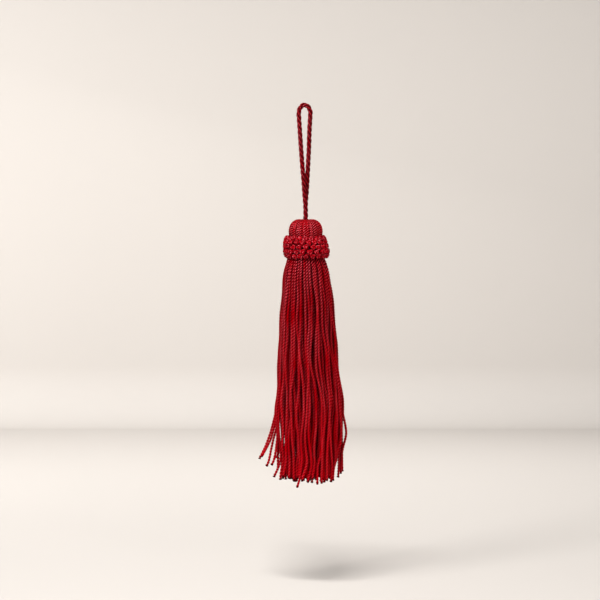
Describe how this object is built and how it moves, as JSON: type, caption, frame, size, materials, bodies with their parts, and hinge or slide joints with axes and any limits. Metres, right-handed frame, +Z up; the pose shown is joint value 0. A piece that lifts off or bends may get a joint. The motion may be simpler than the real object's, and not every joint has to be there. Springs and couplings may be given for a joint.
{
  "type": "silk tassel with hanging loop",
  "caption": "Hanging silk tassel: a twisted cord loop, a round folded-yarn head, a knotted collar and a long skirt of twisted strands.",
  "frame": {"origin": "Underside of the hanging loop's top arc, where a hook or nail bears; the tassel hangs below it.", "axes": "+Z up along the tassel, +X across the loop's opening to the viewer's right, +Y away from the viewer through the opening"},
  "size_m": [0.032, 0.0268, 0.1476],
  "materials": {
    "cord": "three-ply twisted silk cord, deep red, soft lustre",
    "yarn": "twisted silk yarn, deep red, lustrous along the strand",
    "collar": "knotted silk cord, deep red, bright on the knots"
  },
  "bodies": {
    "root": {"hanging_loop": "cord", "head_and_skirt": "yarn", "knotted_collar": "collar"}
  },
  "joints": []
}
